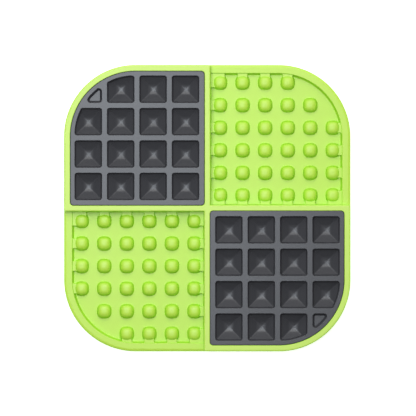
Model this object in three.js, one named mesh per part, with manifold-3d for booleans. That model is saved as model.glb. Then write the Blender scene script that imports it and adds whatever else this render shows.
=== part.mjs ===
// A square lick mat: a soft green tray with a raised cross of walls, two shallow wells of
// studs, and two grey inserts with a grid of pockets. Millimetres, +Z up, with the origin
// under the middle of the mat, at the level that it rests on.
//
// Every form is described in one quarter of the mat, x and y counted outwards from the
// middle, and is then turned about Z to the quarters where it belongs.

import * as THREE from "three";
import { mergeVertices } from "three/addons/utils/BufferGeometryUtils.js";
import Module from "manifold-3d";

// The mat as a whole
const side = 200;
const outerRadius = 50;
const floorTop = 3;
const lowTop = 6.6;
const highTop = 12;
const bottomEdge = 0.8;

// The tray's outer wall leans in as it rises, and its top edges turn over in two steps
const wallStart = bottomEdge;
const wallLean = 0.03;
const lowEdgeWidth = 2.2;
const lowEdgeHeight = 1.1;
const highEdge = 1.1;
const edgeTurn = { width: 0.35, height: 0.65 };
const frameCorner = 1.6;

// The cross walls: how far each one reaches past the centre line, on the side of its well
const crossReach = 2.3;

// The two wells and their rims
const wellOuter = 94.05;
const wellCorner = 1.2;
const wellLean = 0.8;

// Studs, on a square grid that starts beside the cross walls
const studFirst = 8.9;
const studPitch = 15.75;
const studsPerRow = 6;
const studHalf = 4.85;
const studCorner = 3;
const studHeight = 4.2;
const studShoulder = 2.5;
const studShoulderInset = 0.55;
const studCrownInset = 2.6;

// Ribs that tie the studs beside a wall to that wall
const ribWidth = 6.8;
const ribHeight = 2.7;
const ribBite = 1;

// The inserts and the recesses that hold them
const insertInner = 1.85;
const insertOuter = 95.4;
const insertCorner = 2.3;
const insertEdge = 0.45;
const insertGap = 0.3;
const grooveEdge = 0.5;

// Pockets in an insert, four by four
const pocketsPerRow = 4;
const pocketFirst = 5.75;
const pocketWidth = 18.7;
const pocketRib = 3.85;
const pocketCorner = 1.6;
const pocketWall = 2.6;
const pocketDepth = 7.6;
const pocketLean = 1.1;
const pocketClipRadius = 42.3;
const pocketDish = { reach: 0.45, depth: 0.82 };
const pocketTip = 0.06;

// The small pocket left in the round corner
const smallPocketDepth = 3.2;
const smallPocketCorner = 2;
const smallPocketLean = 0.8;

// How finely the round stretches are divided
const wideArcSteps = 14;
const clipArcSteps = 5;
const cornerSteps = 2;

// How far a cutting form reaches past the face that it opens, or a standing one into its floor
const clearOfFace = 1;

// Points nearer to each other than this are one point
const samePoint = 1e-4;

const half = side / 2;
const arcCentre = half - outerRadius;
const quarterTurn = Math.PI / 2;
const wellTurns = [0, 2];
const insertTurns = [1, 3];

const wasm = await Module();
wasm.setup();

// Outlines

// One rounded corner of an outline: an arc from one direction to the next, counterclockwise.
function corner(x, y, radius, start, end, steps = cornerSteps) {
  return { x, y, radius, start, end, steps };
}

// The four corners of a rounded box. The outer one has a radius of its own.
function boxCorners(low, high, radius, outer = radius, outerSteps = cornerSteps) {
  const near = low + radius;
  const far = high - radius;
  return [
    corner(high - outer, high - outer, outer, 0, quarterTurn, outerSteps),
    corner(near, far, radius, quarterTurn, 2 * quarterTurn),
    corner(near, near, radius, 2 * quarterTurn, 3 * quarterTurn),
    corner(far, near, radius, 3 * quarterTurn, 4 * quarterTurn),
  ];
}

// The same corners, carried along by x and y.
function movedCorners(corners, x, y) {
  return corners.map((one) => ({ ...one, x: one.x + x, y: one.y + y }));
}

// A pocket's box, cut by the arc that runs along the mat's round corner.
function clippedCorners(lowX, lowY, width, radius) {
  const near = { x: lowX + radius, y: lowY + radius };
  const far = { x: lowX + width - radius, y: lowY + width - radius };
  const reach = pocketClipRadius - radius;
  const inside = (x, y) => Math.hypot(x - arcCentre, y - arcCentre) < reach;
  const along = (place) => arcCentre + Math.sqrt(reach ** 2 - (place - arcCentre) ** 2);
  const angle = (point) => Math.atan2(point.y - arcCentre, point.x - arcCentre);

  const lowerWhole = inside(far.x, near.y);
  const upperWhole = inside(near.x, far.y);
  const right = lowerWhole ? { x: far.x, y: along(far.x) } : { x: along(near.y), y: near.y };
  const top = upperWhole ? { x: along(far.y), y: far.y } : { x: near.x, y: along(near.x) };
  const rightStart = lowerWhole ? 0 : -quarterTurn;
  const topEnd = upperWhole ? quarterTurn : 2 * quarterTurn;

  const corners = [corner(near.x, near.y, radius, 2 * quarterTurn, 3 * quarterTurn)];
  if (lowerWhole) {
    corners.push(corner(far.x, near.y, radius, -quarterTurn, 0));
  }
  corners.push(corner(right.x, right.y, radius, rightStart, angle(right)));
  corners.push(
    corner(arcCentre, arcCentre, pocketClipRadius, angle(right), angle(top), clipArcSteps),
  );
  corners.push(corner(top.x, top.y, radius, angle(top), topEnd));
  if (upperWhole) {
    corners.push(corner(near.x, far.y, radius, quarterTurn, 2 * quarterTurn));
  }
  return corners;
}

// The outline's points, grown or shrunk by the same amount all round.
function outlinePoints(corners, grow) {
  const points = corners.flatMap(({ x, y, radius, start, end, steps }) =>
    new THREE.ArcCurve(x, y, radius + grow, start, end, false).getPoints(steps),
  );
  return points.filter((point, index) => point.distanceTo(points.at(index - 1)) > samePoint);
}

// Solids

// A closed geometry as a solid that can be joined and cut.
function solidOf(geometry) {
  const bare = geometry.clone();
  bare.deleteAttribute("normal");
  bare.deleteAttribute("uv");
  const merged = mergeVertices(bare, samePoint);
  return new wasm.Manifold(
    new wasm.Mesh({
      numProp: 3,
      vertProperties: merged.attributes.position.array,
      triVerts: new Uint32Array(merged.index.array),
    }),
  );
}

function geometryOf(solid) {
  const mesh = solid.getMesh();
  const geometry = new THREE.BufferGeometry();
  geometry.setAttribute("position", new THREE.BufferAttribute(mesh.vertProperties, 3));
  geometry.setIndex(new THREE.BufferAttribute(mesh.triVerts, 1));
  geometry.computeVertexNormals();
  return geometry;
}

// One outline carried through several heights, grown or shrunk at each.
function loft(corners, levels) {
  const rings = levels.map(({ grow }) => outlinePoints(corners, grow));
  const key = (x, y) => `${x.toFixed(3)} ${y.toFixed(3)}`;
  const indexOf = new Map(rings[0].map((point, index) => [key(point.x, point.y), index]));
  const geometry = new THREE.ExtrudeGeometry(new THREE.Shape(rings[0]), {
    depth: levels.length - 1,
    steps: levels.length - 1,
    bevelEnabled: false,
  });
  const place = geometry.attributes.position;
  for (let vertex = 0; vertex < place.count; vertex += 1) {
    const level = Math.round(place.getZ(vertex));
    const index = indexOf.get(key(place.getX(vertex), place.getY(vertex)));
    const point = rings[level][index];
    place.setXYZ(vertex, point.x, point.y, levels[level].z);
  }
  return solidOf(geometry);
}

function box(lowX, highX, lowY, highY, lowZ, highZ) {
  const geometry = new THREE.BoxGeometry(highX - lowX, highY - lowY, highZ - lowZ);
  geometry.translate((lowX + highX) / 2, (lowY + highY) / 2, (lowZ + highZ) / 2);
  return solidOf(geometry);
}

// Copies of a solid, each turned about Z by its number of quarter turns.
function turned(solid, turns) {
  return turns.map((turn) => solid.rotate([0, 0, 90 * turn]));
}

function joined(solids) {
  return solids.reduce((whole, next) => whole.add(next));
}

// The tray

// Heights of the outer wall, from the level that the mat rests on to a rounded top edge.
function wallLevels(top, edgeWidth, edgeHeight) {
  const wallEnd = top - edgeHeight;
  const lean = wallLean * (wallEnd - wallStart);
  return [
    { z: 0, grow: -bottomEdge },
    { z: wallStart, grow: 0 },
    { z: wallEnd, grow: -lean },
    { z: wallEnd + edgeHeight * edgeTurn.height, grow: -lean - edgeWidth * edgeTurn.width },
    { z: top, grow: -lean - edgeWidth },
  ];
}

// The body of the whole mat, as high as the low rims.
function lowBody() {
  const corners = boxCorners(-half, half, outerRadius).map((one) => ({
    ...one,
    steps: wideArcSteps,
  }));
  return loft(corners, wallLevels(lowTop, lowEdgeWidth, lowEdgeHeight));
}

// The high block of one quarter, which reaches past both centre lines as the cross walls.
function highBlock() {
  const corners = boxCorners(-crossReach, half, frameCorner, outerRadius, wideArcSteps);
  return loft(corners, wallLevels(highTop, highEdge, highEdge));
}

// The room for an insert, with a small groove round its mouth.
function recess() {
  return loft(insertOutline(), [
    { z: floorTop, grow: insertGap },
    { z: highTop - grooveEdge, grow: insertGap },
    { z: highTop, grow: insertGap + grooveEdge },
    { z: highTop + clearOfFace, grow: insertGap + grooveEdge + clearOfFace },
  ]);
}

// The hollow of a well, between the cross walls and the low rim.
function well() {
  const wellRadius = wellOuter - arcCentre;
  const corners = boxCorners(crossReach, wellOuter, wellCorner, wellRadius, wideArcSteps);
  return loft(corners, [
    { z: floorTop, grow: -wellLean },
    { z: lowTop, grow: 0 },
    { z: lowTop + clearOfFace, grow: 0 },
  ]);
}

function studPlace(index) {
  return studFirst + studPitch * index;
}

// The three studs nearest the round corner are left out.
function hasStud(column, row) {
  const last = studsPerRow - 1;
  return column + row < 2 * last - 1;
}

// A pillow-shaped stud that stands on the well's floor.
function stud(column, row) {
  const corners = movedCorners(
    boxCorners(-studHalf, studHalf, studCorner),
    studPlace(column),
    studPlace(row),
  );
  return loft(corners, [
    { z: floorTop - clearOfFace, grow: 0 },
    { z: floorTop, grow: 0 },
    { z: floorTop + studShoulder, grow: -studShoulderInset },
    { z: floorTop + studHeight, grow: -studCrownInset },
  ]);
}

// How far out the well's wall stands beside a given row or column.
function wellReach(place) {
  if (place < arcCentre) {
    return wellOuter;
  }
  return arcCentre + Math.sqrt((wellOuter - arcCentre) ** 2 - (place - arcCentre) ** 2);
}

// A rib from a stud towards the cross wall or towards the rim, along X.
function ribAlongX(column, row) {
  const centreY = studPlace(row);
  const wall = column === 0 ? crossReach - ribBite : wellReach(centreY) + ribBite;
  const ends = [studPlace(column), wall].sort((a, b) => a - b);
  const sides = [centreY - ribWidth / 2, centreY + ribWidth / 2];
  return box(...ends, ...sides, floorTop - clearOfFace, floorTop + ribHeight);
}

// The pad that fills the corner between a stud and the two walls that it stands beside.
function cornerPad(column, row) {
  const reach = (index) =>
    index === 0
      ? [crossReach - ribBite, studPlace(index) + ribWidth / 2]
      : [studPlace(index) - ribWidth / 2, wellOuter + ribBite];
  return box(...reach(column), ...reach(row), floorTop - clearOfFace, floorTop + ribHeight);
}

// The same form with X and Y changed over.
function mirrored(solid) {
  return solid.mirror([1, -1, 0]);
}

// Studs, ribs and corner pads of one well.
function wellForms() {
  const last = studsPerRow - 1;
  const forms = [];
  for (let column = 0; column < studsPerRow; column += 1) {
    for (let row = 0; row < studsPerRow; row += 1) {
      if (hasStud(column, row)) {
        forms.push(stud(column, row));
      }
    }
  }
  for (let row = 1; row < last; row += 1) {
    forms.push(ribAlongX(0, row), mirrored(ribAlongX(0, row)));
    if (hasStud(last, row)) {
      forms.push(ribAlongX(last, row), mirrored(ribAlongX(last, row)));
    }
  }
  forms.push(cornerPad(0, 0), cornerPad(0, last), cornerPad(last, 0));
  return joined(forms);
}

function traySolid() {
  return joined([lowBody(), ...turned(highBlock(), insertTurns)])
    .subtract(joined(turned(recess(), insertTurns)))
    .subtract(joined(turned(well(), wellTurns)))
    .add(joined(turned(wellForms(), wellTurns)));
}

// The inserts

function insertOutline() {
  const outerCorner = insertOuter - arcCentre;
  return boxCorners(insertInner, insertOuter, insertCorner, outerCorner, wideArcSteps);
}

function insertBlock() {
  return loft(insertOutline(), [
    { z: floorTop + insertGap, grow: 0 },
    { z: highTop - insertEdge, grow: 0 },
    { z: highTop, grow: -insertEdge },
  ]);
}

function pocketStart(index) {
  return pocketFirst + (pocketWidth + pocketRib) * index;
}

function isSmallPocket(column, row) {
  return column === pocketsPerRow - 1 && row === pocketsPerRow - 1;
}

function pocketCorners(column, row) {
  const lowX = pocketStart(column);
  const lowY = pocketStart(row);
  const farX = lowX + pocketWidth;
  const farY = lowY + pocketWidth;
  const beyondArc = farX > arcCentre && farY > arcCentre;
  if (beyondArc && Math.hypot(farX - arcCentre, farY - arcCentre) > pocketClipRadius) {
    const radius = isSmallPocket(column, row) ? smallPocketCorner : pocketCorner;
    return clippedCorners(lowX, lowY, pocketWidth, radius);
  }
  return movedCorners(boxCorners(0, pocketWidth, pocketCorner), lowX, lowY);
}

// A pocket's floor is a pit: four slopes that flatten towards the middle. This is the room over it.
function floorRoom(column, row) {
  const wallFoot = highTop - pocketWall;
  const drop = pocketDepth - pocketWall;
  const diagonal = (pocketWidth / 2) * Math.SQRT2;
  const square = [corner(0, 0, diagonal, quarterTurn / 2, 4.5 * quarterTurn, 4)];
  const level = (z, share) => ({ z, grow: diagonal * (share - 1) });
  const room = loft(square, [
    level(highTop - pocketDepth, pocketTip),
    level(wallFoot - drop * pocketDish.depth, pocketDish.reach),
    level(wallFoot, 1),
    level(highTop + 2 * clearOfFace, 2),
  ]);
  const middle = pocketWidth / 2;
  return room.translate([pocketStart(column) + middle, pocketStart(row) + middle, 0]);
}

// The hollow of one pocket.
function pocket(column, row) {
  const small = isSmallPocket(column, row);
  const depth = small ? smallPocketDepth : pocketDepth;
  const lean = small ? smallPocketLean : pocketLean;
  const hollow = loft(pocketCorners(column, row), [
    { z: highTop - depth, grow: -lean },
    { z: highTop, grow: 0 },
    { z: highTop + clearOfFace, grow: 0 },
  ]);
  return small ? hollow : hollow.intersect(floorRoom(column, row));
}

function insertSolid() {
  const pockets = [];
  for (let column = 0; column < pocketsPerRow; column += 1) {
    for (let row = 0; row < pocketsPerRow; row += 1) {
      pockets.push(pocket(column, row));
    }
  }
  return insertBlock().subtract(joined(pockets));
}

// Materials

function trayMaterial() {
  return new THREE.MeshStandardMaterial({ color: 0xc6ec74, roughness: 0.55, metalness: 0 });
}

function insertMaterial() {
  return new THREE.MeshStandardMaterial({ color: 0x626468, roughness: 0.5, metalness: 0 });
}

// The mat

function trayMesh() {
  const mesh = new THREE.Mesh(geometryOf(traySolid()), trayMaterial());
  mesh.name = "tray";
  return mesh;
}

function insertMesh(name, geometry, turn) {
  const mesh = new THREE.Mesh(geometry, insertMaterial());
  mesh.name = name;
  mesh.rotation.z = turn * quarterTurn;
  return mesh;
}

function lickMat() {
  const mat = new THREE.Group();
  const insert = geometryOf(insertSolid());
  mat.add(trayMesh());
  mat.add(insertMesh("grid_insert_back_left", insert, insertTurns[0]));
  mat.add(insertMesh("grid_insert_front_right", insert, insertTurns[1]));
  return mat;
}

export default lickMat();
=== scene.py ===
# A square lick mat, seen from straight above: a green tray with a raised cross and two
# wells of studs, and two grey inserts with a grid of pockets. The forms are described in
# millimetres, in one quarter of the mat, and are turned about Z to where they belong.

import math

import bpy
import numpy as np
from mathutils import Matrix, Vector


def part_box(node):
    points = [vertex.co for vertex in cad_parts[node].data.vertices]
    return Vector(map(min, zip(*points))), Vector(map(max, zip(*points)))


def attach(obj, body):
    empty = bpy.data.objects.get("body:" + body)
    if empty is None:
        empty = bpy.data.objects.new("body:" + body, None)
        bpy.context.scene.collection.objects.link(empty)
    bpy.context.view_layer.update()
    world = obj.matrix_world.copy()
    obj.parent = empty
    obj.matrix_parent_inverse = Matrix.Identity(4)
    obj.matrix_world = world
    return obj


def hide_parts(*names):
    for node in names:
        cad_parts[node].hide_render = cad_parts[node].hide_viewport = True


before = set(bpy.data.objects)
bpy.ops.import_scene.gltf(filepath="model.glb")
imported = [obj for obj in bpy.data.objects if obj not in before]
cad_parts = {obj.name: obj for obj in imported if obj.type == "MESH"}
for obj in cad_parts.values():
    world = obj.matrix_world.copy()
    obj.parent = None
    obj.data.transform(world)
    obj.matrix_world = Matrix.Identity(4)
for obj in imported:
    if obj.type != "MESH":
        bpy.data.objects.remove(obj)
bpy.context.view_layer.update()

MM = 0.001

# Sizes that the frame gives, in millimetres
tray_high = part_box("tray")[1] / MM
insert_low, insert_high = (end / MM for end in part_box("grid_insert_back_left"))
HALF = tray_high.x
HIGH_TOP = tray_high.z
INSERT_INNER = insert_low.y
INSERT_OUTER = insert_high.y
INSERT_BASE = insert_low.z

# The tray
OUTER_RADIUS = 50
ARC_CENTRE = HALF - OUTER_RADIUS
FLOOR_TOP = 3
LOW_TOP = 6.6
BOTTOM_EDGE = 0.8
WALL_LEAN = 0.03
LOW_EDGE = {"width": 2.2, "height": 1.1}
HIGH_EDGE = {"width": 1.1, "height": 1.1}
FRAME_CORNER = 1.6
CROSS_REACH = 2.3
CROSS_LEAN = 0.3
# Up to just below the low wall's edge, a high block keeps inside the tray's own wall
BLOCK_HIDDEN = {"below": 0.2, "inset": 1.0, "step": 0.1}

# The wells and their studs
WELL_OUTER = 94.05
WELL_UNDER_CROSS = 1.5
WELL_CORNER = 2.4
WELL_LEAN = 0.8
WELL_FILLET = 0.6
WELL_MOUTH = 0.45
STUD_FIRST = 8.9
STUD_PITCH = 15.75
STUDS_PER_ROW = 6
STUD_HALF = 4.85
STUD_HEIGHT = 4.4
STUD_FILLET = 0.5
STUD_FILLET_END = 200
STUD_ROUNDNESS = {"side": 2.5, "foot": 2.7, "crown": 2.0}
RIB_WIDTH = 6.8
RIB_HEIGHT = 2.7
RIB_EDGE = 0.3
RIB_FLARE = 1.1
RIB_BITE = 1

# The inserts and their pockets
INSERT_GAP = 0.08
INSERT_CORNER = 2.3
INSERT_EDGE = 0.5
RECESS_MOUTH = 0.45
POCKETS_PER_ROW = 4
POCKET_FIRST = 5.75
POCKET_WIDTH = 18.7
POCKET_RIB = 3.85
POCKET_CORNER = 1.6
POCKET_LEAN = 0.8
POCKET_MOUTH = 0.4
POCKET_WALL = 3.2
POCKET_DEPTH = 8
POCKET_CLIP_RADIUS = 42.3
# A pocket's floor: how far the dish in the middle reaches, how round its four valleys are, and
# how steep it is at the dish's edge, just past it and at the wall
POCKET_DISH = 3.3
POCKET_VALLEY = 0.2
POCKET_SLOPE = {"dish": 0.42, "bend": 0.62, "wall": 0.84}
SMALL_POCKET_CORNER = 2
SMALL_POCKET_WALL = 2.6
SMALL_POCKET_FLOOR = {"depth": 3.2, "inset": 1.4}

# How finely round stretches and floors are divided
WIDE_STEPS = 40
CLIP_STEPS = 10
CORNER_STEPS = 6
RIM_STEPS = 8
EDGE_STEPS = 6
SMALL_EDGE_STEPS = 4
STUD_SIDES = 48
STUD_LEVELS = 14
FLOOR_CELLS = 36

# A form that stands on a floor starts under it, and a fillet from this angle on joins the two
FOOT_START = 250
FOOT_SUNK = {"depth": 0.2, "spread": 0.6}
# A mouth is rounded up to this angle, and goes straight on past the face from there
MOUTH_END = 112
MOUTH_RISE = 0.2

# How far a cutting form reaches past the face that it opens
CLEAR = 1.0
# How far the ground under a pocket's floor reaches past the pocket
FLOOR_MARGIN = 0.2
# How far a form stands proud of one that it would lie flush with
PROUD = 0.01
# Faces that meet at less than this angle, in degrees, are shaded as one round surface
SMOOTH_ANGLE = 34

# Quarter turns to where the wells and the inserts belong
WELL_TURNS = (0, 2)
INSERTS = {"grid_insert_back_left": 1, "grid_insert_front_right": 3}

# The rubbers: painted shade as a deeper tone on steep faces, and a painted sheen as a paler tone
# where the green is raised
GREEN = {"colour": (0.462, 0.72, 0.043), "shade_painted_colour": (0.34, 0.7, 0.015),
         "sheen_painted_colour": (0.505, 0.725, 0.085), "roughness": 0.5, "specular": 0.85}
DARK_GREY = (0.045, 0.045, 0.05)
GREY = {"colour": DARK_GREY, "shade_painted_colour": DARK_GREY,
        "sheen_painted_colour": DARK_GREY, "roughness": 0.34, "specular": 0.54}
# The upward part of a face's normal, from where the painted shade on a steep face starts to where
# it is full
PAINTED_SHADE_SLOPE = (0.97, 0.5)
# The heights, in metres, between which the painted sheen on the high faces comes in
PAINTED_SHEEN_HEIGHTS = ((HIGH_TOP - 2) * MM, (HIGH_TOP - 0.3) * MM)
# A slow drift over the rubber, and how far it takes the tone and the roughness either way
DRIFT = {"scale": 18, "detail": 3, "tone": 0.03, "roughness": 0.06}
GRAIN = {"scale": 2600, "detail": 4, "depth": 0.02 * MM, "strength": 0.6}

# The studio, in metres
STAGE_FLOOR = {"reach": 1.5, "drop": 0.2 * MM, "colour": 0.9, "roughness": 0.9, "glow": 0.7}
KEY_LIGHT = {"place": (0.01, 0.63, 0.9), "target": (0, 0, 0), "width": 0.73, "radiance": 2.34,
             "colour": (1, 1, 1)}
OVERHEAD_LIGHT = {"place": (-0.114, 0.083, 0.7), "target": (-0.114, 0.083, 0), "width": 0.4,
                  "radiance": 5.15, "colour": (0.93, 1, 1.08)}
SKY = {"front": 0.27, "back": 1.0}
CAMERA = {"x": 0.00054, "y": 0.00011, "sharp_level": 0.009, "frame_width": 0.28977,
          "lens_mm": 300, "sensor_mm": 36, "sees_to": 20}


# Outlines

def corner(x, y, radius, start, end, steps=CORNER_STEPS, follows=False):
    """One arc of an outline, in degrees. One that follows starts where the last one ends."""
    return {"x": x, "y": y, "radius": radius, "start": start, "end": end,
            "steps": steps, "follows": follows}


def box_corners(low, high, radius, outer=None, outer_steps=CORNER_STEPS):
    """The corners of a rounded box, whose outer corner may have a radius of its own."""
    outer = radius if outer is None else outer
    near = low + radius
    far = high - radius
    return [
        corner(high - outer, high - outer, outer, 0, 90, outer_steps),
        corner(near, far, radius, 90, 180),
        corner(near, near, radius, 180, 270),
        corner(far, near, radius, 270, 360),
    ]


def moved_corners(corners, x, y):
    return [{**one, "x": one["x"] + x, "y": one["y"] + y} for one in corners]


def clipped_corners(low_x, low_y, width, radius):
    """A pocket's box, cut by the arc that runs along the mat's round corner."""
    near_x, near_y = low_x + radius, low_y + radius
    far_x, far_y = low_x + width - radius, low_y + width - radius
    reach = POCKET_CLIP_RADIUS - radius

    def along(place):
        return ARC_CENTRE + math.sqrt(reach**2 - (place - ARC_CENTRE) ** 2)

    def angle(point):
        return math.degrees(math.atan2(point[1] - ARC_CENTRE, point[0] - ARC_CENTRE))

    lower_whole = math.hypot(far_x - ARC_CENTRE, near_y - ARC_CENTRE) < reach
    upper_whole = math.hypot(near_x - ARC_CENTRE, far_y - ARC_CENTRE) < reach
    right = (far_x, along(far_x)) if lower_whole else (along(near_y), near_y)
    top = (along(far_y), far_y) if upper_whole else (near_x, along(near_x))
    corners = [corner(near_x, near_y, radius, 180, 270)]
    if lower_whole:
        corners.append(corner(far_x, near_y, radius, -90, 0))
    corners.append(corner(*right, radius, 0 if lower_whole else -90, angle(right)))
    corners.append(corner(ARC_CENTRE, ARC_CENTRE, POCKET_CLIP_RADIUS, angle(right), angle(top),
                          CLIP_STEPS, follows=True))
    corners.append(corner(*top, radius, angle(top), 90 if upper_whole else 180, follows=True))
    if upper_whole:
        corners.append(corner(near_x, far_y, radius, 90, 180))
    return corners


def outline(corners, grow=0.0):
    """The outline's points, grown or shrunk by the same amount all round."""
    points = []
    for one in corners:
        for step in range(1 if one["follows"] else 0, one["steps"] + 1):
            angle = math.radians(one["start"] + (one["end"] - one["start"]) * step / one["steps"])
            radius = one["radius"] + grow
            x = one["x"] + radius * math.cos(angle)
            y = one["y"] + radius * math.sin(angle)
            points.append((x, y))
    return points


def round_square(half, power):
    """A square whose sides bulge: at power 2 it is a circle, and it squares off as that grows."""
    points = []
    for side in range(STUD_SIDES):
        angle = 2 * math.pi * side / STUD_SIDES
        across, along = math.cos(angle), math.sin(angle)
        scale = half / (abs(across) ** power + abs(along) ** power) ** (1 / power)
        points.append((across * scale, along * scale))
    return points


# Levels of a form: height, and how far the outline grows there

def turn(centre_z, centre_grow, height, width, start, end, steps=EDGE_STEPS):
    """A rounded edge: part of an ellipse about a centre, from one angle to another."""
    levels = []
    for step in range(steps + 1):
        angle = math.radians(start + (end - start) * step / steps)
        levels.append((centre_z + height * math.sin(angle), centre_grow + width * math.cos(angle)))
    return levels


def flared_mouth(top, radius):
    """The rounded mouth of a cutting form, carried on past the face that it opens."""
    levels = turn(top - radius, radius, radius, radius, 180, MOUTH_END)
    (z_before, grow_before), (z_last, grow_last) = levels[-2:]
    slope = (grow_last - grow_before) / (z_last - z_before)
    levels.append((z_last + MOUTH_RISE, grow_last + MOUTH_RISE * slope))
    levels.append((z_last + MOUTH_RISE + CLEAR, grow_last + MOUTH_RISE * slope))
    return levels


def foot(floor, grow, radius, end=180, steps=SMALL_EDGE_STEPS):
    """The start of a form that stands on a floor: from under it, and up over a small fillet."""
    fillet = turn(floor + radius, grow + radius, radius, radius, FOOT_START, end, steps)
    return [(floor - FOOT_SUNK["depth"], fillet[0][1] + FOOT_SUNK["spread"]), *fillet]


def wall_levels(top, edge):
    """The tray's outer wall, from the level it rests on to a rounded top edge."""
    wall_end = top - edge["height"]
    lean = WALL_LEAN * (wall_end - BOTTOM_EDGE)
    bottom = turn(BOTTOM_EDGE, -BOTTOM_EDGE, BOTTOM_EDGE, BOTTOM_EDGE, -90, 0)
    grow = -lean - edge["width"]
    return bottom + turn(wall_end, grow, edge["height"], edge["width"], 0, 90, RIM_STEPS)


# Solids: points in millimetres, and faces that wind outwards

def loft(rings):
    """A closed form through outlines at rising heights."""
    count = len(rings[0][1])
    points = [(x, y, z) for z, ring in rings for x, y in ring]
    faces = [tuple(reversed(range(count)))]
    for level in range(len(rings) - 1):
        low = level * count
        for index in range(count):
            after = (index + 1) % count
            faces.append((low + index, low + after, low + count + after, low + count + index))
    last = (len(rings) - 1) * count
    faces.append(tuple(range(last, last + count)))
    return np.array(points), faces


def grown_loft(corners, levels):
    return loft([(z, outline(corners, grow)) for z, grow in levels])


def moved(solid, x, y, z=0.0):
    points, faces = solid
    return points + np.array((x, y, z)), faces


def turned(solid, quarter_turns):
    points, faces = solid
    cosine = round(math.cos(math.pi / 2 * quarter_turns))
    sine = round(math.sin(math.pi / 2 * quarter_turns))
    x, y, z = points.T
    return np.stack((x * cosine - y * sine, x * sine + y * cosine, z), 1), faces


def mirrored(solid):
    """The same form with X and Y changed over."""
    points, faces = solid
    return points[:, (1, 0, 2)], [tuple(reversed(face)) for face in faces]


def together(solids):
    """Forms that stay clear of each other, as one."""
    points, faces, start = [], [], 0
    for some_points, some_faces in solids:
        points.append(some_points)
        faces += [tuple(start + index for index in face) for face in some_faces]
        start += len(some_points)
    return np.concatenate(points), faces


def solid_object(name, solid):
    points, faces = solid
    mesh = bpy.data.meshes.new(name)
    mesh.from_pydata(points.tolist(), [], faces)
    obj = bpy.data.objects.new(name, mesh)
    bpy.context.scene.collection.objects.link(obj)
    return obj


def combine(target, operation, solid):
    """Joins a form to the target, or cuts it out."""
    other = solid_object("working_form", solid)
    modifier = target.modifiers.new("combine", "BOOLEAN")
    modifier.operation = operation
    modifier.solver = "MANIFOLD"
    modifier.object = other
    bake_modifiers(target)
    discard(other)


def discard(obj):
    """Removes a working form's object and its mesh."""
    mesh = obj.data
    bpy.data.objects.remove(obj)
    bpy.data.meshes.remove(mesh)


def bake_modifiers(obj):
    """Makes what the modifiers show into the object's own mesh."""
    shown = obj.evaluated_get(bpy.context.evaluated_depsgraph_get())
    mesh = bpy.data.meshes.new_from_object(shown)
    spare = obj.data
    obj.modifiers.clear()
    obj.data = mesh
    bpy.data.meshes.remove(spare)


# The tray's forms

def tray_body():
    corners = [{**one, "steps": WIDE_STEPS} for one in box_corners(-HALF, HALF, OUTER_RADIUS)]
    return grown_loft(corners, wall_levels(LOW_TOP, LOW_EDGE))


def block_outline(outer_grow, face_grow):
    """A high block, whose faces over the wells grow apart from its outer wall."""
    low = -CROSS_REACH - face_grow
    high = HALF + outer_grow
    radius = FRAME_CORNER + min(outer_grow, 0)
    return outline(box_corners(low, high, radius, OUTER_RADIUS + outer_grow, WIDE_STEPS))


def high_block():
    """The high block of one quarter, which reaches past both centre lines as the cross."""
    wall_end = HIGH_TOP - HIGH_EDGE["height"]
    lean = WALL_LEAN * (wall_end - BOTTOM_EDGE)
    hidden_until = LOW_TOP - LOW_EDGE["height"] - BLOCK_HIDDEN["below"]
    shown_from = hidden_until + BLOCK_HIDDEN["step"]
    inset = -BLOCK_HIDDEN["inset"]

    def face(z):
        return CROSS_LEAN * (1 - (z - FLOOR_TOP) / (wall_end - FLOOR_TOP))

    def wall(z):
        return PROUD - WALL_LEAN * (z - BOTTOM_EDGE)

    standing = foot(FLOOR_TOP, face(FLOOR_TOP + WELL_FILLET), WELL_FILLET, steps=EDGE_STEPS)
    levels = [(z, inset, grow) for z, grow in standing]
    levels.append((hidden_until, inset, face(hidden_until)))
    levels.append((shown_from, wall(shown_from), face(shown_from)))
    for z, grow in turn(wall_end, PROUD - lean - HIGH_EDGE["width"],
                        HIGH_EDGE["height"], HIGH_EDGE["width"], 0, 90, RIM_STEPS):
        levels.append((z, grow, grow + lean - PROUD))
    return loft([(z, block_outline(outer, face_grow)) for z, outer, face_grow in levels])


def insert_corners():
    outer = INSERT_OUTER - ARC_CENTRE
    return box_corners(INSERT_INNER, INSERT_OUTER, INSERT_CORNER, outer, WIDE_STEPS)


def recess():
    """The room for an insert, with a rounded mouth."""
    levels = [(FLOOR_TOP, INSERT_GAP)]
    levels += [(z, grow + INSERT_GAP) for z, grow in flared_mouth(HIGH_TOP, RECESS_MOUTH)]
    return grown_loft(insert_corners(), levels)


def well():
    """The hollow of a well. Its inner sides run on under the cross, which closes them."""
    inner = CROSS_REACH - WELL_UNDER_CROSS
    corners = box_corners(inner, WELL_OUTER, WELL_CORNER, WELL_OUTER - ARC_CENTRE, WIDE_STEPS)
    fillet = WELL_FILLET
    levels = turn(FLOOR_TOP + fillet, -WELL_LEAN - fillet, fillet, fillet, -90, 0)
    levels += flared_mouth(LOW_TOP, WELL_MOUTH)
    return grown_loft(corners, levels)


def stud_place(index):
    return STUD_FIRST + STUD_PITCH * index


def has_stud(column, row):
    """The three studs nearest the round corner are left out."""
    return column + row < 2 * (STUDS_PER_ROW - 1) - 1


def stud():
    """A pillow-shaped stud, with a small fillet at its foot, on the well's floor."""
    side, at_foot, at_crown = (STUD_ROUNDNESS[part] for part in ("side", "foot", "crown"))
    rings = []
    for z, grow in foot(0, 0, STUD_FILLET, STUD_FILLET_END):
        rings.append((z, round_square(STUD_HALF + grow, at_foot)))
    for level in range(1, STUD_LEVELS):
        angle = math.pi / 2 * level / STUD_LEVELS
        rise = math.sin(angle) ** (2 / side)
        reach = math.cos(angle) ** (2 / side)
        if STUD_HEIGHT * rise < STUD_FILLET:
            continue
        power = at_crown + (at_foot - at_crown) * reach
        rings.append((STUD_HEIGHT * rise, round_square(STUD_HALF * reach, power)))
    return moved(loft(rings), 0, 0, FLOOR_TOP)


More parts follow.
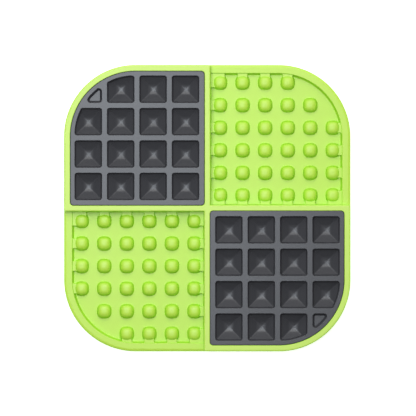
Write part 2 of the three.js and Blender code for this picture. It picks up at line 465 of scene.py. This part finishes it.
def well_reach(place):
    """How far out the well's wall stands beside a given row or column."""
    if place < ARC_CENTRE:
        return WELL_OUTER
    return ARC_CENTRE + math.sqrt((WELL_OUTER - ARC_CENTRE) ** 2 - (place - ARC_CENTRE) ** 2)


def rib_levels():
    """From under the well's floor to the rounded top edge of a rib or pad."""
    edge_start = FLOOR_TOP + RIB_HEIGHT - RIB_EDGE
    edge = turn(edge_start, -RIB_EDGE, RIB_EDGE, RIB_EDGE, 0, 90, SMALL_EDGE_STEPS)
    return foot(FLOOR_TOP, 0, RIB_EDGE) + edge


def rib(reach):
    """A rib along X, from a stud's middle to a wall so far off. It flares at the wall."""
    half = RIB_WIDTH / 2
    rings = []
    for z, grow in rib_levels():
        side = [(0, -half - grow)]
        for step in range(CORNER_STEPS + 1):
            angle = math.pi / 2 * (1 - step / CORNER_STEPS)
            radius = RIB_FLARE - grow
            side.append((reach - RIB_FLARE + radius * math.cos(angle),
                         -half - RIB_FLARE + radius * math.sin(angle)))
        side.append((reach + RIB_BITE, -half - RIB_FLARE))
        rings.append((z, side + [(x, -y) for x, y in reversed(side)]))
    return loft(rings)


def rib_along_x(column, row):
    """A rib from a stud towards the cross wall or towards the rim."""
    x, y = stud_place(column), stud_place(row)
    if column == 0:
        return moved(turned(rib(x - CROSS_REACH), 2), x, y)
    return moved(rib(well_reach(y) - x), x, y)


def bar(low_x, high_x, low_y, high_y):
    """A low block with the same edges as a rib."""
    centre = ((low_x + high_x) / 2, (low_y + high_y) / 2)
    half_x, half_y = (high_x - low_x) / 2, (high_y - low_y) / 2
    rings = []
    for z, grow in rib_levels():
        x, y = half_x + grow, half_y + grow
        rings.append((z, [(x, y), (-x, y), (-x, -y), (x, -y)]))
    return moved(loft(rings), *centre)


def corner_pad(column, row):
    """The pad that fills the corner between a stud and the two walls that it stands beside."""
    def reach(index):
        if index == 0:
            return CROSS_REACH - RIB_BITE, stud_place(index) + RIB_WIDTH / 2
        return stud_place(index) - RIB_WIDTH / 2, WELL_OUTER + RIB_BITE

    return bar(*reach(column), *reach(row))


def well_studs():
    studs = []
    one = stud()
    for column in range(STUDS_PER_ROW):
        for row in range(STUDS_PER_ROW):
            if has_stud(column, row):
                studs.append(moved(one, stud_place(column), stud_place(row)))
    return together(studs)


def well_ribs():
    last = STUDS_PER_ROW - 1
    ribs = []
    for row in range(1, last):
        ribs += [rib_along_x(0, row), mirrored(rib_along_x(0, row))]
        if has_stud(last, row):
            ribs += [rib_along_x(last, row), mirrored(rib_along_x(last, row))]
    ribs += [corner_pad(0, 0), corner_pad(0, last), corner_pad(last, 0)]
    return together(ribs)


def build_tray():
    tray = solid_object("green_tray", tray_body())
    combine(tray, "DIFFERENCE", together(turned(well(), turns) for turns in WELL_TURNS))
    for turns in INSERTS.values():
        combine(tray, "UNION", turned(high_block(), turns))
    combine(tray, "DIFFERENCE", together(turned(recess(), turns) for turns in INSERTS.values()))
    combine(tray, "UNION", together(turned(well_ribs(), turns) for turns in WELL_TURNS))
    combine(tray, "UNION", together(turned(well_studs(), turns) for turns in WELL_TURNS))
    return tray


# The inserts' forms

def pocket_start(index):
    return POCKET_FIRST + (POCKET_WIDTH + POCKET_RIB) * index


def is_small_pocket(column, row):
    return column == POCKETS_PER_ROW - 1 and row == POCKETS_PER_ROW - 1


def pocket_corners(column, row):
    low_x, low_y = pocket_start(column), pocket_start(row)
    far_x, far_y = low_x + POCKET_WIDTH, low_y + POCKET_WIDTH
    beyond_arc = far_x > ARC_CENTRE and far_y > ARC_CENTRE
    if beyond_arc and math.hypot(far_x - ARC_CENTRE, far_y - ARC_CENTRE) > POCKET_CLIP_RADIUS:
        radius = SMALL_POCKET_CORNER if is_small_pocket(column, row) else POCKET_CORNER
        return clipped_corners(low_x, low_y, POCKET_WIDTH, radius)
    return moved_corners(box_corners(0, POCKET_WIDTH, POCKET_CORNER), low_x, low_y)


def pocket_hollow(column, row):
    """A pocket from its mouth to below its floor. The small one has a floor of its own."""
    if is_small_pocket(column, row):
        wall = SMALL_POCKET_WALL
        lowest = (HIGH_TOP - SMALL_POCKET_FLOOR["depth"], -SMALL_POCKET_FLOOR["inset"])
    else:
        wall = POCKET_WALL
        lowest = (HIGH_TOP - POCKET_DEPTH - CLEAR, -POCKET_LEAN)
    mouth_start = HIGH_TOP - POCKET_MOUTH
    lean_per_mm = POCKET_LEAN / wall
    levels = [lowest, (HIGH_TOP - wall, -POCKET_LEAN)]
    for z, grow in flared_mouth(HIGH_TOP, POCKET_MOUTH):
        levels.append((z, grow - lean_per_mm * max(0, mouth_start - z)))
    return grown_loft(pocket_corners(column, row), levels)


def floor_depth(x, y):
    """How deep a pocket is, measured from its middle: four slopes run down to a soft dish."""
    across, along = np.abs(x), np.abs(y)
    reach = (across + along + np.sqrt((across - along) ** 2 + POCKET_VALLEY**2)) / 2
    in_dish = np.minimum(reach, POCKET_DISH)
    beyond = np.maximum(reach - POCKET_DISH, 0)
    wall_reach = POCKET_WIDTH / 2 - POCKET_LEAN - POCKET_DISH
    steepening = (POCKET_SLOPE["wall"] - POCKET_SLOPE["bend"]) / wall_reach
    rise = POCKET_SLOPE["dish"] * in_dish**2 / (2 * POCKET_DISH)
    rise += POCKET_SLOPE["bend"] * beyond + steepening * beyond**2 / 2
    return POCKET_DEPTH - rise


def floor_block():
    """What stays under one pocket's floor."""
    half = POCKET_WIDTH / 2 + FLOOR_MARGIN
    places = np.linspace(-half, half, FLOOR_CELLS + 1)
    across = FLOOR_CELLS + 1
    x, y = np.meshgrid(places, places)
    top = np.stack((x, y, HIGH_TOP - floor_depth(x, y)), -1).reshape(-1, 3)
    rim = list(range(across))
    rim += [row * across + FLOOR_CELLS for row in range(1, across)]
    rim += [FLOOR_CELLS * across + column for column in reversed(range(FLOOR_CELLS))]
    rim += [row * across for row in reversed(range(1, FLOOR_CELLS))]
    base = top[rim].copy()
    base[:, 2] = HIGH_TOP - POCKET_DEPTH - 2 * CLEAR
    faces = []
    for row in range(FLOOR_CELLS):
        for column in range(FLOOR_CELLS):
            low = row * across + column
            a, b, c, d = low, low + 1, low + across + 1, low + across
            # Each cell is split along its diagonal towards the middle, as the valleys run
            same_side = (row < FLOOR_CELLS / 2) == (column < FLOOR_CELLS / 2)
            faces += [(a, b, c), (a, c, d)] if same_side else [(a, b, d), (b, c, d)]
    start = len(top)
    for index, corner_index in enumerate(rim):
        after = (index + 1) % len(rim)
        faces.append((start + index, start + after, rim[after], corner_index))
    faces.append(tuple(reversed(range(start, start + len(rim)))))
    return np.concatenate((top, base)), faces


def insert_block():
    levels = [(INSERT_BASE, 0)]
    levels += turn(HIGH_TOP - INSERT_EDGE, -INSERT_EDGE, INSERT_EDGE, INSERT_EDGE, 0, 90)
    return grown_loft(insert_corners(), levels)


def build_insert(name, turns):
    cells = [(c, r) for c in range(POCKETS_PER_ROW) for r in range(POCKETS_PER_ROW)]
    middle = POCKET_WIDTH / 2
    hollows = solid_object("pockets", together(pocket_hollow(c, r) for c, r in cells))
    floors = [
        moved(floor_block(), pocket_start(c) + middle, pocket_start(r) + middle)
        for c, r in cells
        if not is_small_pocket(c, r)
    ]
    combine(hollows, "DIFFERENCE", together(floors))
    points = np.array([vertex.co for vertex in hollows.data.vertices], float)
    faces = [tuple(face.vertices) for face in hollows.data.polygons]
    discard(hollows)
    insert = solid_object(name, turned(insert_block(), turns))
    combine(insert, "DIFFERENCE", turned((points, faces), turns))
    return insert


# Materials

def mixed(tree, first, second, factor):
    """The first colour, or what a socket gives, going over to the second one."""
    mix = tree.nodes.new("ShaderNodeMix")
    mix.data_type = "RGBA"
    if isinstance(first, tuple):
        mix.inputs["A"].default_value = (*first, 1)
    else:
        tree.links.new(first, mix.inputs["A"])
    mix.inputs["B"].default_value = (*second, 1)
    tree.links.new(factor, mix.inputs["Factor"])
    return mix.outputs["Result"]


def upward_part(tree, vector, start, end):
    """How far a vector's upward part has gone from one value to another."""
    parts_of = tree.nodes.new("ShaderNodeSeparateXYZ")
    tree.links.new(vector, parts_of.inputs["Vector"])
    span = tree.nodes.new("ShaderNodeMapRange")
    span.inputs["From Min"].default_value = start
    span.inputs["From Max"].default_value = end
    tree.links.new(parts_of.outputs["Z"], span.inputs["Value"])
    return span.outputs["Result"]


def noise(tree, place, scale, detail):
    """A noise over the object's own places."""
    texture = tree.nodes.new("ShaderNodeTexNoise")
    texture.inputs["Scale"].default_value = scale
    texture.inputs["Detail"].default_value = detail
    tree.links.new(place, texture.inputs["Vector"])
    return texture.outputs["Fac"]


def drifting(tree, drift, middle, swing):
    """A value that drifts about its middle, by at most the swing either way."""
    span = tree.nodes.new("ShaderNodeMapRange")
    span.inputs["To Min"].default_value = middle - swing
    span.inputs["To Max"].default_value = middle + swing
    tree.links.new(drift, span.inputs["Value"])
    return span.outputs["Result"]


def rubber(name, colour, shade_painted_colour, sheen_painted_colour, roughness, specular):
    """Moulded rubber with a fine grain and a slow drift of tone and gloss, with painted shade on
    steep faces and a painted sheen on the high faces.
    """
    material = bpy.data.materials.new(name)
    material.use_nodes = True
    tree = material.node_tree
    nodes, links = tree.nodes, tree.links
    shader = nodes["Principled BSDF"]
    shader.inputs["Specular IOR Level"].default_value = specular
    place = nodes.new("ShaderNodeTexCoord")

    # Painted shade: steep faces are coloured a deeper green, as shade makes them look
    painted_shade_amount = upward_part(tree, place.outputs["Normal"], *PAINTED_SHADE_SLOPE)
    # Painted sheen: the high faces are coloured a paler, whiter green, as the light's sheen makes
    # them look
    height = upward_part(tree, place.outputs["Object"], *PAINTED_SHEEN_HEIGHTS)
    raised = mixed(tree, colour, sheen_painted_colour, height)
    tone = mixed(tree, raised, shade_painted_colour, painted_shade_amount)
    drift = noise(tree, place.outputs["Object"], DRIFT["scale"], DRIFT["detail"])
    shade = nodes.new("ShaderNodeVectorMath")
    shade.operation = "SCALE"
    links.new(tone, shade.inputs[0])
    links.new(drifting(tree, drift, 1, DRIFT["tone"]), shade.inputs["Scale"])
    links.new(shade.outputs["Vector"], shader.inputs["Base Color"])
    gloss = drifting(tree, drift, roughness, DRIFT["roughness"])
    links.new(gloss, shader.inputs["Roughness"])

    grain = noise(tree, place.outputs["Object"], GRAIN["scale"], GRAIN["detail"])
    bump = nodes.new("ShaderNodeBump")
    bump.inputs["Distance"].default_value = GRAIN["depth"]
    bump.inputs["Strength"].default_value = GRAIN["strength"]
    links.new(grain, bump.inputs["Height"])
    links.new(bump.outputs["Normal"], shader.inputs["Normal"])
    return material


def floor_material():
    """A plain white that glows a little, so that the floor stays clear white as in the photo."""
    material = bpy.data.materials.new("pale_floor")
    material.use_nodes = True
    shader = material.node_tree.nodes["Principled BSDF"]
    shader.inputs["Base Color"].default_value = (*[STAGE_FLOOR["colour"]] * 3, 1)
    shader.inputs["Roughness"].default_value = STAGE_FLOOR["roughness"]
    shader.inputs["Emission Color"].default_value = (1, 1, 1, 1)
    shader.inputs["Emission Strength"].default_value = STAGE_FLOOR["glow"]
    return material


# Finishing a piece

def finish_piece(piece, node, material):
    """Metres, soft shading and the finish, and the CAD node that the piece stands for."""
    mesh = piece.data
    places = np.empty(len(mesh.vertices) * 3)
    mesh.vertices.foreach_get("co", places)
    mesh.vertices.foreach_set("co", places * MM)
    mesh.materials.clear()
    mesh.materials.append(material)
    mesh.polygons.foreach_set("material_index", [0] * len(mesh.polygons))
    mesh.shade_smooth()
    mesh.set_sharp_from_angle(angle=math.radians(SMOOTH_ANGLE))
    weighted = piece.modifiers.new("even_shading", "WEIGHTED_NORMAL")
    weighted.keep_sharp = True
    bake_modifiers(piece)
    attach(piece, "root")
    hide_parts(node)


# The studio

def build_floor():
    """A pale floor, a hair below the mat so that the two faces don't coincide."""
    reach, level = STAGE_FLOOR["reach"], -STAGE_FLOOR["drop"]
    ends = [(-reach, -reach), (reach, -reach), (reach, reach), (-reach, reach)]
    mesh = bpy.data.meshes.new("floor")
    mesh.from_pydata([(x, y, level) for x, y in ends], [], [(0, 1, 2, 3)])
    floor = bpy.data.objects.new("floor", mesh)
    bpy.context.scene.collection.objects.link(floor)
    mesh.materials.append(floor_material())


def soft_light(name, place, target, width, radiance, colour):
    """A square soft box, turned towards a point on the mat. The camera doesn't see it."""
    light = bpy.data.lights.new(name, "AREA")
    light.shape = "SQUARE"
    light.size = width
    light.energy = radiance * math.pi * width**2
    light.color = colour
    box = bpy.data.objects.new(name, light)
    bpy.context.scene.collection.objects.link(box)
    box.location = place
    box.rotation_euler = (Vector(place) - Vector(target)).to_track_quat("Z", "Y").to_euler()
    box.visible_camera = False


def build_lights():
    """A broad light beyond the back of the mat, and a smaller one over its back left part."""
    soft_light("key", **KEY_LIGHT)
    soft_light("overhead", **OVERHEAD_LIGHT)


def build_world():
    """A white sky that is brighter towards the back of the mat."""
    world = bpy.data.worlds.new("studio")
    world.use_nodes = True
    nodes, links = world.node_tree.nodes, world.node_tree.links
    place = nodes.new("ShaderNodeTexCoord")
    parts_of = nodes.new("ShaderNodeSeparateXYZ")
    links.new(place.outputs["Generated"], parts_of.inputs["Vector"])
    strength = nodes.new("ShaderNodeMapRange")
    strength.inputs["To Min"].default_value = SKY["front"]
    strength.inputs["To Max"].default_value = SKY["back"]
    links.new(parts_of.outputs["Y"], strength.inputs["Value"])
    background = nodes["Background"]
    background.inputs["Color"].default_value = (1, 1, 1, 1)
    links.new(strength.outputs["Result"], background.inputs["Strength"])
    bpy.context.scene.world = world


def build_camera():
    """Straight above the mat, far enough off for nearly parallel lines of sight."""
    camera_data = bpy.data.cameras.new("camera")
    camera_data.lens = CAMERA["lens_mm"]
    camera_data.sensor_width = CAMERA["sensor_mm"]
    camera_data.clip_end = CAMERA["sees_to"]
    camera = bpy.data.objects.new("camera", camera_data)
    bpy.context.scene.collection.objects.link(camera)
    distance = CAMERA["frame_width"] * CAMERA["lens_mm"] / CAMERA["sensor_mm"]
    camera.location = (CAMERA["x"], CAMERA["y"], CAMERA["sharp_level"] + distance)
    bpy.context.scene.camera = camera


def build_mat():
    green = rubber("green_rubber", **GREEN)
    grey = rubber("grey_rubber", **GREY)
    finish_piece(build_tray(), "tray", green)
    for node, turns in INSERTS.items():
        piece = build_insert(node.replace("grid_insert", "grey_grid"), turns)
        finish_piece(piece, node, grey)


def main():
    build_camera()
    build_mat()
    build_floor()
    build_lights()
    build_world()
    scene = bpy.context.scene
    scene.view_settings.view_transform = "Standard"
    scene.view_settings.look = "None"


main()
